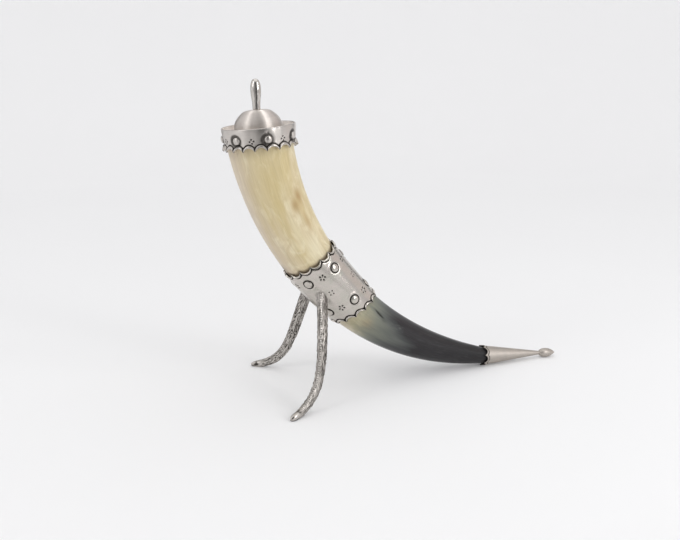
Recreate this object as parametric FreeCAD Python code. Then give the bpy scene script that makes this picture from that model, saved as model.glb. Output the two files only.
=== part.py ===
import FreeCAD, Part
import math
import os

from FreeCAD import Vector, Placement, Rotation

# Lidded drinking horn on two cast legs, in millimetres.
# +X points to the horn's tip, +Z is up, and the XZ plane is the plane of symmetry.
# The origin is on the surface it stands on, under the middle of the object's box.

# ---- horn ----
HORN_POLES = [(-122.3, 208.9), (-111.8, 127.0), (-55.0, 51.5), (5.4, 22.4), (75.6, 9.0)]  # x, z
HORN_RADII = [25.7, 21.1, 19.2, 7.25]        # poles of the radius along the centre line
HORN_STATIONS = 16
MOUTH_WALL = 2.8                             # wall at the cut edge
WALL_GROWTH = 5.5                            # the wall thickens by this towards the tip
CAVITY_END = 0.64                            # where the hollow stops, as a fraction of the line
CAVITY_ROUNDING = 0.40                       # where its end starts to close
TIP_CORE_LENGTH = 38.0                       # solid horn inside the tip cap
TIP_CORE_END_RADIUS = 2.2
TIP_CORE_STEPS = 3

# ---- mouth: everything round about one axis, measured up from the collar's top edge ----
RIM_CENTRE = Vector(-122.3, 0.0, 215.1)
MOUTH_LEAN = 4.8                             # degrees from upright, towards -X
SHEET = 1.0                                  # pewter sheet
COLLAR_TOP_RADIUS = 28.3
COLLAR_EDGE_HEIGHT = 1.0                     # straight edge above the waisted wall
COLLAR_WAIST_RADIUS = 27.3
COLLAR_HEIGHT = 17.0
COLLAR_FLARE = 2.8                           # height of the flared, scalloped edge
COLLAR_FLARE_BEND = 1.5                      # height over which the wall turns into the flare
COLLAR_SCALLOPS = 19
COLLAR_SCALLOP_START = 168.0                 # angles are degrees about the axis, from +Y
COLLAR_BOSSES = 7
COLLAR_BOSS_START = 180.0
COLLAR_BOSS_DEPTH = 8.5                      # from the top edge to the middle of a boss
MOUTH_DEPTH = 6.2                            # from the top edge to the horn's cut edge
RING_INNER_RADIUS = 21.3                     # lined mouth that the lid's ring drops into
RING_LEDGE_RADIUS = 26.7
RING_SKIRT = 5.0

# ---- lid ----
LID_CLEARANCE = 0.3                          # all round, to the pieces that stay on the horn
LID_RADIUS = 26.0                            # flange
LID_NECK_RADIUS = 18.2
LID_NECK_TOP = 3.3                           # above the collar's top edge
LID_CROWN_RADIUS = 11.4
LID_CROWN_TOP = 9.8
LID_APEX = 11.4
LID_CROWN_POLES = [9.4, 6.0]                 # radii where the crown's curve turns level
LID_VAULT_POLE = 8.4                         # the same, under the crown
LID_INNER_SHIFT = 0.8                        # coned shoulder's inner line, down and inwards
LOCATING_RING_HEIGHT = 6.0
KNOB_HEIGHT = 22.8
KNOB_LEAN = 3.4                              # degrees back towards upright from the mouth axis
KNOB_SEAT = 0.2                              # solder under the knob and round its peg
KNOB_PEG_RADIUS = 1.5
KNOB_PEG_LENGTH = 3.5
KNOB_PEG_END = 1.0                           # the peg stands out this far under the crown
KNOB_PROFILE = [(2.9, 0.0), (2.6, 5.0), (3.9, 12.0), (4.6, 17.0), (4.0, 22.8), (0.0, 22.8)]

# ---- band ----
BAND_START = 0.3265                          # fractions of the horn's centre line
BAND_END = 0.526
BAND_SLANT = 14.5                            # the lower edge leans this far from square, in degrees
BAND_BULGE = 0.7                             # the sleeve spans the inside of the bend this much straighter
BAND_STATIONS = 9
GLUE_GAP = 0.3
CORE_OVERRUN = 0.04                          # the sleeve's cutter runs past both ends by this share
OVAL_EXCESS = 1e-4                           # keeps the sleeve's sections ovals where they are round
BAND_TOP_SCALLOPS = 15
BAND_LOW_SCALLOPS = 14
BAND_SCALLOP_START = 183.0
BOSSES_PER_ROW = 5
BOSS_SPACING = 720.0 / 11.0                  # eleven boss and flower places round the sheet
BOSS_ROWS = [(0.22, 26.0), (0.75, 40.0)]     # share of the band's length, angle of the first boss

# ---- legs ----
LEG_LINE = [Vector(-77.0, -14.0, 86.0), Vector(-87.0, -48.5, 34.0),
            Vector(-85.0, -42.5, 6.0), Vector(-118.0, -64.0, 1.5)]
LEG_STATIONS = 18
LEG_CROWDING = 1.25                          # sections are closer together at the toe
LEG_SIDE = Vector(0.54, -0.84, 0.0)          # square to the plane the leg bends in
LEG_SECTIONS = [(7.6, 10.0), (5.9, 8.5), (5.9, 8.8), (5.4, 5.8)]   # thickness and depth, root to toe
TOE_ROUNDING = 0.95                          # where the toe starts to round off
TOE_BLUNTNESS = 0.90                         # 1.0 would close the toe to a point

# ---- tip cap and bead ----
CAP_HEADING = -4.3                           # degrees from level
CAP_LENGTH = 58.5
CAP_RIM_RADIUS = 8.9
CAP_NECK_RADIUS = 1.6
CAP_SCALLOPS = 7
CAP_SCALLOP_START = 292.0
CAP_SCALLOP_DEPTH = 3.0
CAP_OVERHANG = 1.5                           # the rim's points reach this far up the horn
CAP_RIDGE = [(-0.3, 0.0), (0.3, 0.4), (0.3, 2.0), (-0.6, 3.6)]   # radius past the rim, height
CAP_MOUTH_GAP = 0.7                          # to the horn, at the rim
CAP_CORE_GAP = 0.5                           # to the horn's end
CAP_CORE_ROOM = 0.5                          # past the horn's end
BEAD_LENGTH = 16.6
BEAD_RADIUS = 3.8
BEAD_BELLY = 1.33                            # curve poles stand this much wider than the bead
BEAD_POLES = (0.15, 0.65)                    # and at these shares of its length

# ---- raised bosses and cut scallops ----
BOSS_STAND = 1.1
BOSS_FOOT_RADIUS = 3.3
SCALLOP_DEPTH = 3.0
SCALLOP_FILL = 0.95                          # share of the pitch that one arc takes
CUTTER_REACH = 6.0                           # across the edge

FLOOR_CUTTER_DEPTH = 20.0


def bezier(poles, u):
    """Point of a Bezier line whose poles are tuples, at u from 0 to 1."""
    degree = len(poles) - 1
    weights = [math.comb(degree, i) * u ** i * (1.0 - u) ** (degree - i) for i in range(degree + 1)]
    return [sum(w * pole[k] for w, pole in zip(weights, poles)) for k in range(len(poles[0]))]


def bezier_slope(poles, u):
    steps = [tuple(b - a for a, b in zip(p, q)) for p, q in zip(poles, poles[1:])]
    return bezier(steps, u)


def horn_point(u):
    x, z = bezier(HORN_POLES, u)
    return Vector(x, 0.0, z)


def horn_direction(u):
    x, z = bezier_slope(HORN_POLES, u)
    return Vector(x, 0.0, z).normalize()


def horn_radius(u):
    return bezier([(r,) for r in HORN_RADII], u)[0]


def heading(degrees):
    """Unit vector in the XZ plane, turned up from +X."""
    angle = math.radians(degrees)
    return Vector(math.cos(angle), 0.0, math.sin(angle))


def facing(point, direction):
    """Placement whose Z axis is the direction and whose X axis is sideways, +Y."""
    return Placement(point, Rotation(Vector(0, 1, 0), Vector(0, 0, 0), direction, "ZXY"))


def ring(radius, place):
    edge = Part.Circle(Vector(0, 0, 0), Vector(0, 0, 1), radius).toShape()
    wire = Part.Wire([edge])
    wire.Placement = place
    return wire


def loft(wires):
    return Part.makeLoft(wires, True, False)


def revolved(edges, place):
    """Solid turned about local Z from a closed chain of edges in the local XZ plane."""
    face = Part.Face(Part.Wire(edges))
    solid = face.revolve(Vector(0, 0, 0), Vector(0, 0, 1), 360.0)
    solid.Placement = place
    return solid


def polyline(points):
    spots = [Vector(r, 0.0, z) for r, z in points]
    return [Part.makeLine(a, b) for a, b in zip(spots, spots[1:])]


def closed_profile(points):
    return polyline(points + points[:1])


def curve(poles):
    line = Part.BezierCurve()
    line.setPoles([Vector(r, 0.0, z) for r, z in poles])
    return line.toShape()


def joined(solids):
    first = solids[0]
    if len(solids) > 1:
        first = first.multiFuse(solids[1:])
    return first.removeSplitter()


def around(count, start=0.0):
    return [start + 2.0 * math.pi * i / count for i in range(count)]


def scallop_cutters(count, start, radius, depth, place, outward):
    """Radial rods that bite arcs out of an edge; outward is the edge's own side along local Z."""
    half_pitch = math.pi * radius / count * SCALLOP_FILL
    rod_radius = (half_pitch ** 2 + depth ** 2) / (2.0 * depth)
    middle = outward * (rod_radius - depth)
    rods = []
    for angle in around(count, start):
        side = Vector(math.cos(angle), math.sin(angle), 0.0)
        start_point = side * (radius - CUTTER_REACH / 2.0) + Vector(0, 0, middle)
        rods.append(Part.makeCylinder(rod_radius, CUTTER_REACH, start_point, side))
    cutters = Part.makeCompound(rods)
    cutters.Placement = place
    return cutters


def boss_domes(angles, surface_radius, place):
    """Shallow domes that stand out of a round wall at local Z = 0."""
    ball = (BOSS_STAND ** 2 + BOSS_FOOT_RADIUS ** 2) / (2.0 * BOSS_STAND)
    reach = surface_radius + BOSS_STAND - ball
    balls = []
    for angle in angles:
        balls.append(Part.makeSphere(ball, Vector(math.cos(angle), math.sin(angle), 0.0) * reach))
    domes = Part.makeCompound(balls)
    domes.Placement = place
    return domes


MOUTH_AXIS = Vector(-math.sin(math.radians(MOUTH_LEAN)), 0.0, math.cos(math.radians(MOUTH_LEAN)))


def box_below_floor(x_low, x_high, y_low, y_high):
    corner = Vector(x_low, y_low, -FLOOR_CUTTER_DEPTH)
    return Part.makeBox(x_high - x_low, y_high - y_low, FLOOR_CUTTER_DEPTH, corner)


def mouth_place(height=0.0):
    """Placement on the mouth axis, at a height above the collar's top edge."""
    return facing(RIM_CENTRE + MOUTH_AXIS * height, MOUTH_AXIS)


def horn_body():
    """Cow horn: hollow from the cut mouth to past the band, solid from there to the tip."""
    cap_axis = heading(CAP_HEADING)
    outer = [ring(HORN_RADII[0], facing(horn_point(0.0), -MOUTH_AXIS))]
    for i in range(1, HORN_STATIONS):
        u = i / (HORN_STATIONS - 1)
        outer.append(ring(horn_radius(u), facing(horn_point(u), horn_direction(u))))
    for step in range(TIP_CORE_STEPS):
        share = (step + 1) / TIP_CORE_STEPS
        radius = HORN_RADII[-1] + (TIP_CORE_END_RADIUS - HORN_RADII[-1]) * share
        outer.append(ring(radius, facing(horn_point(1.0) + cap_axis * TIP_CORE_LENGTH * share, cap_axis)))

    above = horn_point(0.0) + MOUTH_AXIS * MOUTH_WALL
    inner = [ring(HORN_RADII[0] - MOUTH_WALL, facing(above, -MOUTH_AXIS)),
             ring(HORN_RADII[0] - MOUTH_WALL, facing(horn_point(0.0), -MOUTH_AXIS))]
    for i in range(1, HORN_STATIONS):
        u = CAVITY_END * i / HORN_STATIONS
        closing = max(0.0, (u - CAVITY_ROUNDING) / (CAVITY_END - CAVITY_ROUNDING))
        radius = (horn_radius(u) - MOUTH_WALL - WALL_GROWTH * u) * math.sqrt(1.0 - closing ** 2)
        inner.append(ring(radius, facing(horn_point(u), horn_direction(u))))
    return loft(outer).cut(loft(inner))


def collar_wall(offset):
    """Outer line of the collar from its top edge down to the flared lip, moved in by offset."""
    top = COLLAR_TOP_RADIUS - offset
    waist = COLLAR_WAIST_RADIUS - offset
    lip = -COLLAR_HEIGHT
    flare = lip + COLLAR_FLARE
    bend = flare + COLLAR_FLARE_BEND
    straight = [(top, 0.0), (top, -COLLAR_EDGE_HEIGHT), (waist, bend)]
    flared = [(waist, bend), (waist, flare), (top, flare), (top, lip)]
    return straight, flared


def rim_collar():
    """Scalloped pewter collar glued round the horn's mouth, with a row of raised bosses."""
    outer, outer_flare = collar_wall(0.0)
    inner, inner_flare = collar_wall(SHEET)
    lip = -COLLAR_HEIGHT
    edges = polyline(outer) + [curve(outer_flare)]
    edges += polyline([(outer[0][0], lip), (inner[0][0], lip)])
    edges += [curve(inner_flare)] + polyline(inner) + polyline([outer[0], inner[0]])
    wall = revolved(Part.__sortEdges__(edges), mouth_place())

    filling_edges = polyline([(0.0, 0.0), inner[0]]) + polyline(inner) + [curve(inner_flare)]
    filling_edges += polyline([(inner[0][0], lip), (0.0, lip), (0.0, 0.0)])
    filling = revolved(Part.__sortEdges__(filling_edges), mouth_place())

    surface = (COLLAR_TOP_RADIUS + COLLAR_WAIST_RADIUS) / 2.0
    bosses = around(COLLAR_BOSSES, math.radians(COLLAR_BOSS_START))
    domes = boss_domes(bosses, surface, mouth_place(-COLLAR_BOSS_DEPTH))
    wall = joined([wall] + domes.cut(filling).Solids)
    rods = scallop_cutters(COLLAR_SCALLOPS, math.radians(COLLAR_SCALLOP_START), COLLAR_TOP_RADIUS,
                           SCALLOP_DEPTH, mouth_place(lip), -1.0)
    return wall.cut(rods)


def mouth_ring():
    """Liner ring that covers the horn's cut edge and takes the lid."""
    throat = RING_INNER_RADIUS + SHEET
    points = [(RING_INNER_RADIUS, SHEET), (RING_LEDGE_RADIUS, SHEET), (RING_LEDGE_RADIUS, GLUE_GAP),
              (throat, GLUE_GAP), (throat, -RING_SKIRT), (RING_INNER_RADIUS, -RING_SKIRT)]
    return revolved(closed_profile(points), mouth_place(-MOUTH_DEPTH))


FLANGE_BOTTOM = -MOUTH_DEPTH + SHEET + LID_CLEARANCE
FLANGE_TOP = FLANGE_BOTTOM + SHEET


def lid_dome():
    """Spun lid: flat flange, short upright neck, coned shoulder and low crown, with the peg's hole."""
    shoulder = [(LID_NECK_RADIUS, LID_NECK_TOP), (LID_CROWN_RADIUS, LID_CROWN_TOP)]
    turn, level = LID_CROWN_POLES
    crown = [shoulder[1], (turn, LID_APEX), (level, LID_APEX), (KNOB_PEG_RADIUS, LID_APEX)]
    under = [(r - LID_INNER_SHIFT, z - LID_INNER_SHIFT) for r, z in shoulder]
    ceiling = LID_APEX - SHEET
    vault = [under[1], (LID_VAULT_POLE, ceiling), (level, ceiling), (KNOB_PEG_RADIUS, ceiling)]
    neck_in = LID_NECK_RADIUS - SHEET
    neck_top = under[0][1] - LID_INNER_SHIFT / 2.0
    edges = polyline([(neck_in, FLANGE_BOTTOM), (LID_RADIUS, FLANGE_BOTTOM), (LID_RADIUS, FLANGE_TOP),
                      (LID_NECK_RADIUS, FLANGE_TOP), shoulder[0], shoulder[1]])
    edges += [curve(crown)] + polyline([crown[-1], vault[-1]]) + [curve(vault)]
    edges += polyline([under[1], under[0], (neck_in, neck_top), (neck_in, FLANGE_BOTTOM)])
    return revolved(Part.__sortEdges__(edges), mouth_place())


def lid_locating_ring():
    """Ring soldered under the flange; it drops into the mouth and keeps the lid in place."""
    outer = RING_INNER_RADIUS - LID_CLEARANCE
    points = [(outer - SHEET, 0.0), (outer, 0.0), (outer, -LOCATING_RING_HEIGHT),
              (outer - SHEET, -LOCATING_RING_HEIGHT)]
    return revolved(closed_profile(points), mouth_place(FLANGE_BOTTOM))


def lid_knob():
    """Cast drop-shaped finial with a peg through the crown."""
    lower = KNOB_PROFILE[:3]
    upper = KNOB_PROFILE[2:]
    middle = ((lower[1][0] + upper[1][0]) / 2.0, (lower[1][1] + upper[1][1]) / 2.0)
    edges = [curve([lower[0], lower[1], middle]), curve([middle] + upper[1:])]
    edges += polyline([(0.0, KNOB_HEIGHT), (0.0, 0.0), KNOB_PROFILE[0]])
    base = RIM_CENTRE + MOUTH_AXIS * (LID_APEX + KNOB_SEAT)
    axis = Rotation(Vector(0, 1, 0), KNOB_LEAN).multVec(MOUTH_AXIS)
    drop = revolved(Part.__sortEdges__(edges), facing(base, axis))
    peg = Part.makeCylinder(KNOB_PEG_RADIUS - KNOB_SEAT, KNOB_PEG_LENGTH)
    peg.Placement = mouth_place(LID_APEX - SHEET - KNOB_PEG_END)
    return joined([drop, peg])


def band_section(share):
    """Placement, radius across and radius in the bend's plane of the sleeve, at a share of its length."""
    u = BAND_START + (BAND_END - BAND_START) * share
    direction = horn_direction(u)
    slant = BAND_SLANT * math.sin(math.pi / 2.0 * min(1.0, max(0.0, share)))
    bulge = max(0.0, BAND_BULGE * 4.0 * share * (1.0 - share))
    inside_of_bend = direction.cross(Vector(0, 1, 0))
    centre = horn_point(u) + inside_of_bend * bulge
    normal = Rotation(Vector(0, 1, 0), slant).multVec(direction)
    radius = horn_radius(u) + bulge
    return facing(centre, normal), radius, radius / math.cos(math.radians(slant))


def band_sleeve(offset, overrun=0.0):
    """Solid that follows the horn along the band, standing off its surface."""
    wires = []
    for i in range(BAND_STATIONS):
        share = -overrun + (1.0 + 2.0 * overrun) * i / (BAND_STATIONS - 1)
        place, across, along = band_section(share)
        oval = Part.Ellipse(Vector(0, 0, 0), along + offset + OVAL_EXCESS, across + offset).toShape()
        wire = Part.Wire([oval])
        wire.Placement = place.multiply(Placement(Vector(0, 0, 0), Rotation(Vector(0, 0, 1), 90.0)))
        wires.append(wire)
    return loft(wires)


def middle_band():
    """Pewter band round the horn's bend, scalloped at both edges, with two rows of bosses."""
    core = band_sleeve(GLUE_GAP, CORE_OVERRUN)
    sleeve = band_sleeve(GLUE_GAP + SHEET).cut(core)
    caps = []
    for share, first in BOSS_ROWS:
        place, radius, _ = band_section(share)
        angles = [math.radians(first + BOSS_SPACING * i) for i in range(BOSSES_PER_ROW)]
        domes = boss_domes(angles, radius + GLUE_GAP + SHEET, place)
        caps += domes.cut(core).Solids
    band = joined([sleeve] + caps)
    for share, side, count in ((0.0, -1.0, BAND_TOP_SCALLOPS), (1.0, 1.0, BAND_LOW_SCALLOPS)):
        place, radius, _ = band_section(share)
        start = math.radians(BAND_SCALLOP_START)
        rods = scallop_cutters(count, start, radius + GLUE_GAP + SHEET, SCALLOP_DEPTH, place, side)
        band = band.cut(rods)
    return band


def leg_section(share):
    """Oval across the leg, deeper than it is thick; it gets smaller where the toe rounds off."""
    thickness, depth = bezier(LEG_SECTIONS, share)
    closing = max(0.0, (share - TOE_ROUNDING) / (1.0 - TOE_ROUNDING))
    size = math.sqrt(1.0 - TOE_BLUNTNESS * closing ** 2)
    front = Vector(0.0, size * depth / 2.0, 0.0)
    side = Vector(size * thickness / 2.0, 0.0, 0.0)
    return Part.Wire([Part.Ellipse(front, side, Vector(0, 0, 0)).toShape()])


def right_leg():
    """Cast leg: a tapered rod, bent forward into a toe with a flat facet where it stands."""
    poles = [tuple(p) for p in LEG_LINE]
    wires = []
    for i in range(LEG_STATIONS):
        share = 1.0 - (1.0 - i / (LEG_STATIONS - 1)) ** LEG_CROWDING
        along = Vector(*bezier_slope(poles, share)).normalize()
        wire = leg_section(share)
        wire.Placement = Placement(Vector(*bezier(poles, share)),
                                   Rotation(LEG_SIDE, Vector(0, 0, 0), along, "ZXY"))
        wires.append(wire)
    rod = loft(wires)
    box = rod.BoundBox
    floor = box_below_floor(box.XMin, box.XMax, box.YMin, box.YMax)
    return rod.cut(floor).cut(band_sleeve(GLUE_GAP + SHEET))


def left_leg():
    return right_leg().mirror(Vector(0, 0, 0), Vector(0, 1, 0))


def cap_place(along=0.0):
    axis = heading(CAP_HEADING)
    return facing(horn_point(1.0) + axis * along, axis)


def tip_cap():
    """Conical cap over the horn's tip, with a scalloped rim that touches the floor."""
    hollow = TIP_CORE_LENGTH + CAP_CORE_ROOM
    start = -CAP_OVERHANG
    points = [(CAP_RIM_RADIUS, start), (CAP_NECK_RADIUS, CAP_LENGTH), (0.0, CAP_LENGTH), (0.0, hollow),
              (TIP_CORE_END_RADIUS + CAP_CORE_GAP, hollow), (HORN_RADII[-1] + CAP_MOUTH_GAP, start)]
    cone = revolved(closed_profile(points), cap_place())
    ridge = [(CAP_RIM_RADIUS + r, start + z) for r, z in CAP_RIDGE]
    cone = joined([cone, revolved(closed_profile(ridge), cap_place())])
    rods = scallop_cutters(CAP_SCALLOPS, math.radians(CAP_SCALLOP_START), CAP_RIM_RADIUS,
                           CAP_SCALLOP_DEPTH, cap_place(start), -1.0)
    box = cone.BoundBox
    floor = box_below_floor(box.XMin, box.XMax, box.YMin, box.YMax)
    return cone.cut(rods).cut(floor)


def tip_bead():
    """Olive bead that ends the tip cap."""
    belly = BEAD_RADIUS * BEAD_BELLY
    low, high = [BEAD_LENGTH * share for share in BEAD_POLES]
    outline = [(CAP_NECK_RADIUS, 0.0), (belly, low), (belly, high), (0.0, BEAD_LENGTH)]
    edges = [curve(outline)] + polyline([(0.0, BEAD_LENGTH), (0.0, 0.0), (CAP_NECK_RADIUS, 0.0)])
    return revolved(Part.__sortEdges__(edges), cap_place(CAP_LENGTH))


PARTS = [horn_body, rim_collar, mouth_ring, lid_dome, lid_locating_ring, lid_knob,
         middle_band, left_leg, right_leg, tip_cap, tip_bead]

os.makedirs("parts", exist_ok=True)
whole = FreeCAD.BoundBox()
for make in PARTS:
    shape = make()
    shape.exportStep("parts/" + make.__name__ + ".step")
    box = shape.optimalBoundingBox(False)
    whole.add(box)
    print(make.__name__, "solids", len(shape.Solids), "valid", shape.isValid(),
          "cm3", round(shape.Volume / 1000.0, 2), "x", round(box.XMin, 1), round(box.XMax, 1),
          "y", round(box.YMin, 1), round(box.YMax, 1), "z", round(box.ZMin, 2), round(box.ZMax, 1))
print("whole x", round(whole.XMin, 2), round(whole.XMax, 2), "y", round(whole.YMin, 2),
      round(whole.YMax, 2), "z", round(whole.ZMin, 2), round(whole.ZMax, 2))
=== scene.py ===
from math import comb, cos, pi, radians, sin, sqrt

import bpy
import numpy as np
from numpy.linalg import norm
from mathutils import Matrix, Vector


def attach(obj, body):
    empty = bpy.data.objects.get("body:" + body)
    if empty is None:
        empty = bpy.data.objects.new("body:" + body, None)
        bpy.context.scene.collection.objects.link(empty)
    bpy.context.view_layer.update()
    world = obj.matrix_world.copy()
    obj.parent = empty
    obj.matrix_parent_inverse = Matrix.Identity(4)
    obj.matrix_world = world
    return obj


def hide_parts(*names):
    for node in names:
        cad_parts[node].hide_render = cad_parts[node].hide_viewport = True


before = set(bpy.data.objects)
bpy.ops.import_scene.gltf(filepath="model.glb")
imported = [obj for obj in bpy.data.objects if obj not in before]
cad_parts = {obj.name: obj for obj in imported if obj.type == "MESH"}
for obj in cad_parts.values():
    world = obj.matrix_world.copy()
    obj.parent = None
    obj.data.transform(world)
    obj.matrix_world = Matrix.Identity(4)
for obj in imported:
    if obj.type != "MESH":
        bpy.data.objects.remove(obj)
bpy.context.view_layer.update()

# Lidded drinking horn with pewter mounts. Lengths are in millimetres up to new_mesh, which writes
# metres; the stage is in metres. Angles round the horn, the band and the cap start at +Y and turn
# by the inside of the bend, which is 90; angles round the mouth start at +Y and turn by -X.

TO_METRES = 0.001
SIDEWAYS = np.array([0.0, 1.0, 0.0])
UP = np.array([0.0, 0.0, 1.0])
MIRROR = np.array([1.0, -1.0, 1.0])
FULL_TURN = 2.0 * pi

# ---- the frame's own sizes ----
HORN_POLES = [(-122.3, 0.0, 208.9), (-111.8, 0.0, 127.0), (-55.0, 0.0, 51.5), (5.4, 0.0, 22.4),
              (75.6, 0.0, 9.0)]
HORN_RADII = [(25.7,), (21.1,), (19.2,), (7.25,)]
HORN_END_RADIUS = HORN_RADII[-1][0]
MOUTH_WALL = 2.8
WALL_GROWTH = 5.5
CAVITY_END = 0.64
CAVITY_ROUNDING = 0.40
TIP_CORE_LENGTH = 38.0
TIP_CORE_END_RADIUS = 2.2

RIM_CENTRE = np.array([-122.3, 0.0, 215.1])
MOUTH_LEAN = radians(4.8)
MOUTH_AXIS = np.array([-sin(MOUTH_LEAN), 0.0, cos(MOUTH_LEAN)])
MOUTH_DEPTH = 6.2
SHEET = 1.0
GLUE_GAP = 0.3

BAND_START = 0.3265
BAND_END = 0.526
BAND_SLANT = 14.5
BAND_BULGE = 0.7

LID_RADIUS = 26.0
LID_NECK_RADIUS = 18.2
LID_WALL_TOP = -0.8
LID_NECK_TOP = 3.3
LID_CROWN_RADIUS = 11.4
LID_CROWN_TOP = 9.8
LID_APEX = 11.4
LID_HOLE_RADIUS = 1.6
FLANGE_BOTTOM = -4.9
FLANGE_TOP = -3.9
KNOB_HEIGHT = 22.8
KNOB_LEAN = MOUTH_LEAN - radians(3.4)

LEG_POLES = [(-77.0, -14.0, 86.0), (-87.0, -48.5, 34.0), (-85.0, -42.5, 6.0), (-118.0, -64.0, 1.5)]
LEG_SIDE = np.array([0.54, -0.84, 0.0])
LEG_SECTIONS = [(7.6, 10.0), (5.9, 8.5), (5.9, 8.8), (5.4, 5.8)]
TOE_ROUNDING = 0.95
TOE_BLUNTNESS = 0.90

CAP_HEADING = radians(-4.3)
CAP_AXIS = np.array([cos(CAP_HEADING), 0.0, sin(CAP_HEADING)])
CAP_LENGTH = 58.5
CAP_OVERHANG = 1.5
CAP_RIM_RADIUS = 8.9
CAP_NECK_RADIUS = 1.6
BEAD_LENGTH = 16.6
BEAD_BELLY = 3.8 * 1.33

# ---- the mounts' ornament; scallops are a number of arcs and the angle of one arc's middle ----
STAMP_REACH = 7.0
BAND_RADIUS = 22.4
BAND_SCALLOPS = ((15, 183.2), (14, 183.0))
BAND_BITE = 3.1
BAND_CRESCENT = 1.7
BAND_BOSS = (1.15, 3.55, 0.95, 0.12)
BAND_FLOWER = (5, 1.9)
BAND_SQUARE = 1.35
BAND_STAMP_ROWS = (0.22, 0.75)
BAND_SQUARE_ROW = 0.473
BAND_COLUMN_PITCH = 360.0 / 11.0
BAND_SEAM_ANGLE = 337.0

COLLAR_RADIUS = 28.0
COLLAR_SCALLOPS = (19, 168.0)
COLLAR_BITE = 3.0
COLLAR_CRESCENT = 2.0
COLLAR_LIP = -17.0
COLLAR_BOSSES = 7
COLLAR_BOSS = (1.45, 2.95, 2.4, 0.0, 0.68, -0.9)
COLLAR_BOSS_LEVEL = -8.5
COLLAR_FLOWER = (4, 1.45, 0.12)
COLLAR_FLOWER_LEVEL = -9.05

CAP_SCALLOPS = (7, 187.9)
CAP_BITE = 3.2

LEG_SQUARENESS = 2.3
BARK_STROKE = 4.8
BARK_BEAD = 1.9
BARK_WORN_FROM = 55.0
BARK_WORN_TO = 80.0
TOE_LENGTH = 13.0

# ---- how finely each piece is meshed: rings along it, points round it ----
HORN_GRID = (380, 208)
CAVITY_STEPS = 40
BAND_GRID = (168, 400)
COLLAR_GRID = (64, 500)
LEG_GRID = (430, 156)
CAP_GRID = (200, 120)

# ---- the horn's own marks; its layers also hold painted shade and a painted sheen ----
# Of these layers, the second is glue stain with painted shade along the mounts' edges, and the
# last is a painted sheen.
HORN_LAYERS = ("tone", "stain_and_shade", "gash", "blush", "yellow", "edge")
# Spots: place along the horn, angle round it, half width along and round, strength.
TONE_SPOTS = ((0.605, 192.0, 0.05, 15.0, -0.012), (0.695, 191.0, 0.055, 12.0, -0.045),
              (0.630, 142.0, 0.06, 18.0, 0.020), (0.645, 242.0, 0.08, 24.0, 0.080))
SCRATCHED = (0.658, 156.0, 0.022, 9.0, -0.060)
GLUE_STAIN = (0.316, 272.0, 0.012, 16.0, 0.8)
GASH = (0.5725, 155.0, 0.06, 3.8, 1.7)
SCUFFS = ((0.600, 163.0, 0.012, 5.0, 0.35), (0.63, 150.0, 0.02, 4.0, 0.2))
BLUSH_SPOTS = ((0.176, 160.0, 0.020, 10.0, 1.0), (0.160, 147.0, 0.024, 9.0, 0.95),
               (0.228, 150.0, 0.026, 6.0, 0.75), (0.560, 194.0, 0.020, 15.0, 0.22))
YELLOW_SPOTS = ((0.115, 190.0, 0.085, 26.0, 0.8), (0.21, 181.0, 0.055, 7.0, -0.8),
                (0.295, 165.0, 0.035, 22.0, -1.0), (0.285, 197.0, 0.02, 16.0, 0.45))
# Where glue creeps out over the band's edge: angle, half width, reach.
GLUE_CREEPS = ((256.0, 11.0, 2.4), (112.0, 11.0, 2.4), (221.0, 6.0, 1.8))
# Pale arcs: place along and angle round of the middle, radius along and round.
SWIRLS = ((0.262, 194.0, 0.022, 15.0), (0.300, 203.0, 0.016, 12.0))

# ---- the stage, in metres ----
CAMERA_TARGET = Vector((-0.057, 0.0, 0.0972))
CAMERA_AZIMUTH = radians(-19.0)
CAMERA_ELEVATION = radians(13.84)
CAMERA_DISTANCE = 0.6946
CAMERA_LENS = 45.29
SENSOR_WIDTH = 36.0
OBJECT_MIDDLE = (-0.03, 0.0, 0.1)
WORLD_STRENGTH = 0.83
FLOOR_GLOW = 0.075
WALL_GLOW = 0.14
FLOOR_RADIUS = 1.3
SWEEP_BEND = 0.6
SWEEP_COLUMNS = 96
# Lamps: place, target, width and height, power.
LAMPS = {
    "right_box": ((0.60, -1.10, 0.65), OBJECT_MIDDLE, (0.20, 0.9), 4.3),
    "side_box": ((0.78, -0.73, 0.62), OBJECT_MIDDLE, (0.09, 0.8), 1.45),
    "left_box": ((-1.20, -0.30, 0.75), OBJECT_MIDDLE, (0.4, 0.9), 2.45),
    "top_box": ((0.0, 0.1, 1.6), (0.0, 0.0, 0.1), (1.6, 1.6), 3.4),
}
DIM = (0.42, 0.42, 0.42)
DARK = (0.03, 0.03, 0.03)
# Upright cards face the camera's target at their own height; flat ones lie on the floor.
# Each is its place, width and height, and shade.
UPRIGHT_CARDS = {
    "tent_opening": ((-0.42, -1.05, 0.65), (1.8, 1.3), DIM),
    "tent_gap": ((-0.196, -0.99, 0.62), (0.42, 1.24), DARK),
    "left_fold": ((-0.505, 1.167, 0.65), (0.35, 1.3), (0.10, 0.10, 0.10)),
    "right_fold": ((1.013, 0.643, 0.65), (0.25, 1.3), (0.30, 0.30, 0.30)),
    "right_side": ((1.25, -0.02, 0.60), (0.85, 1.2), (0.86, 0.80, 0.78)),
}
FLAT_CARDS = {
    "table_edge": ((-0.31, -0.72, 0.004), (1.4, 0.66), DIM),
    "table_gap": ((-0.17, -0.70, 0.008), (0.30, 0.62), DARK),
}


# ---- numbers ----

def bezier(poles, u):
    """Points of a Bezier line at the parameters u; each pole is a row."""
    poles = np.asarray(poles, float)
    n = len(poles) - 1
    u = np.asarray(u, float)[..., None]
    return sum(comb(n, i) * u ** i * (1.0 - u) ** (n - i) * poles[i] for i in range(n + 1))


def bezier_slope(poles, u):
    """Way the line runs at u, not of unit length."""
    return bezier(np.diff(np.asarray(poles, float), axis=0), u)


def steps(count):
    """Even steps from 0 to 1."""
    return np.linspace(0.0, 1.0, count)


def unit(vectors):
    return vectors / norm(vectors, axis=-1, keepdims=True)


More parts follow.
